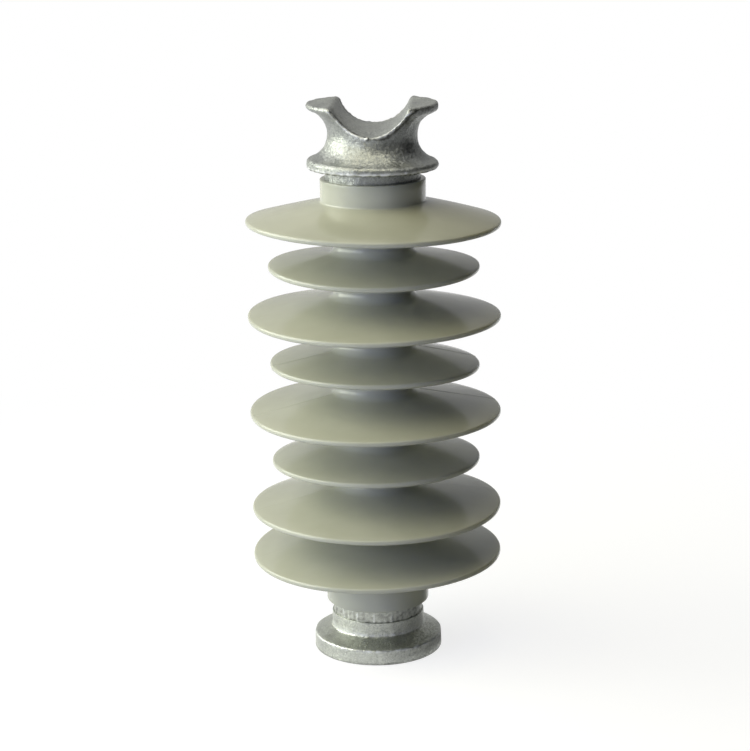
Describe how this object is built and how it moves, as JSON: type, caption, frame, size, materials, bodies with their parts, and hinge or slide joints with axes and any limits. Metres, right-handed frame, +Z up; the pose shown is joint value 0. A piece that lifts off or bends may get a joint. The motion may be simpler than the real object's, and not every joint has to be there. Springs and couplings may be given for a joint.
{
  "type": "composite line post insulator",
  "caption": "Silicone-rubber post insulator with large and small sheds, a galvanised tie-top head with a conductor saddle, and a round flanged base with a tapped stud hole.",
  "frame": {"origin": "centre of the base's underside, on the rod's axis", "axes": "+Z up along the rod from base to head; the conductor's saddle runs along Y; the head's two horns are at -X and +X"},
  "size_m": [0.162, 0.162, 0.36],
  "materials": {
    "glass_fibre_rod": "resin-bonded glass fibre, smooth",
    "silicone_rubber": "moulded silicone rubber, satin grey-green",
    "galvanised_casting": "hot-dip galvanised casting, bright and slightly rough",
    "galvanised_steel": "hot-dip galvanised forging, bright with fine spangle",
    "seal_rubber": "soft silicone seal"
  },
  "bodies": {
    "root": {"core_rod": "glass_fibre_rod", "housing": "silicone_rubber", "head_fitting": "galvanised_casting", "base_fitting": "galvanised_steel", "lower_seal": "seal_rubber", "upper_seal": "seal_rubber"}
  },
  "joints": []
}
